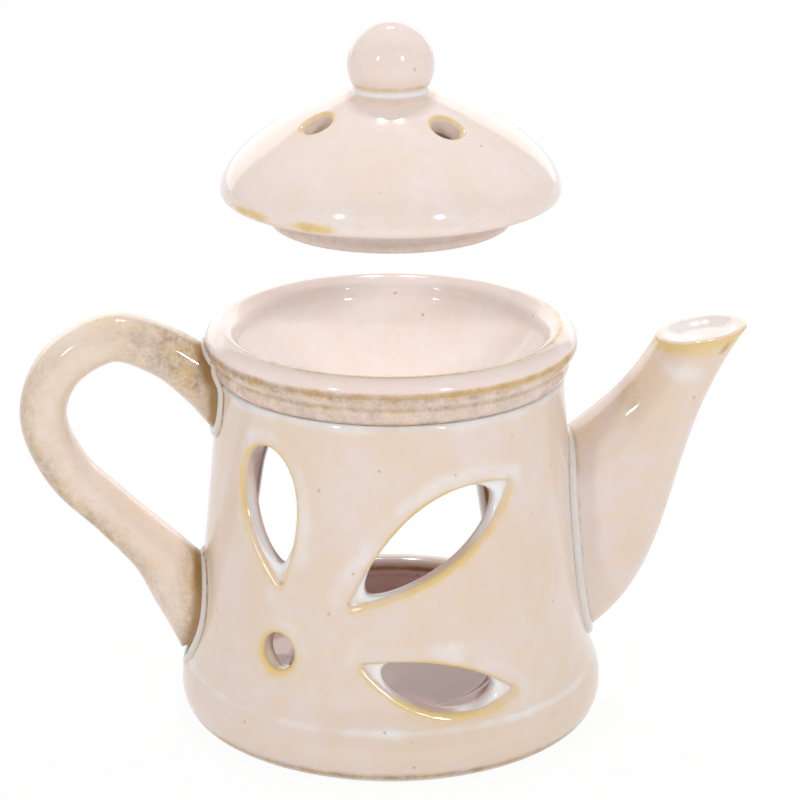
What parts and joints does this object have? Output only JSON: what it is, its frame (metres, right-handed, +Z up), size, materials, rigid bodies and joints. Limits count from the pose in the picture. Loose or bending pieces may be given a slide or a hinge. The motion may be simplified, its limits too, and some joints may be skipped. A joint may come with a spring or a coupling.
{
  "type": "teapot-shaped oil burner",
  "caption": "Glazed pottery oil burner shaped like a teapot: pierced tealight chamber with a doorway at the back, oil bowl on top, handle, blind spout and a domed lid that lifts off.",
  "frame": {"origin": "centre of the flat underside of the foot", "axes": "+Z up along the axis of the body, +X towards the spout, -Y towards the pierced front, doorway at +Y"},
  "size_m": [0.1494, 0.0892, 0.1461],
  "materials": {
    "cream_glaze": "glossy cream glaze that breaks to ochre on edges and pools white in seams",
    "pale_glaze": "glossy pinkish white glaze",
    "straw_glaze": "glossy cream glaze with grey-brown and ochre mottling"
  },
  "bodies": {
    "burner": {"base": "cream_glaze", "chamber_wall": "cream_glaze", "oil_bowl": "pale_glaze", "handle": "straw_glaze", "spout": "cream_glaze"},
    "lid": {"lid": "cream_glaze", "lid_knob": "pale_glaze"}
  },
  "joints": [
    {"name": "lid_lift", "type": "slide", "parent": "burner", "child": "lid", "axis": [0, 0, 1], "range_m": [-0.027, 0.03]}
  ]
}
